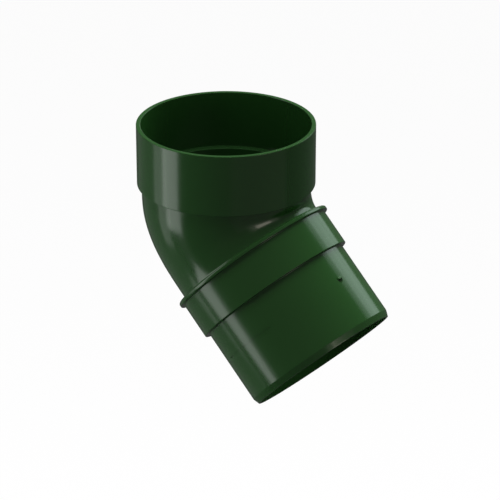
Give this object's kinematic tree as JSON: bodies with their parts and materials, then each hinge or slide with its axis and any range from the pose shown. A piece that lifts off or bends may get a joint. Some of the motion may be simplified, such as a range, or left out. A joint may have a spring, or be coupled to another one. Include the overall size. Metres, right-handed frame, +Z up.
{
  "type": "downpipe elbow",
  "caption": "Elbow for a round downpipe: an upright socket with an inner seat, a smooth bend, and a slanting leg with a bead, a stepped collar and a long spigot.",
  "frame": {"origin": "centre of the socket's seat, on the socket's axis", "axes": "+Z up the socket's axis, out of its mouth; the leg leans towards +X; the cut line is on the -Y side"},
  "size_m": [0.1272, 0.085, 0.1331],
  "materials": {
    "moulding": "glossy moulded plastic, dark leaf green all through"
  },
  "bodies": {
    "root": {"elbow": "moulding"}
  },
  "joints": []
}
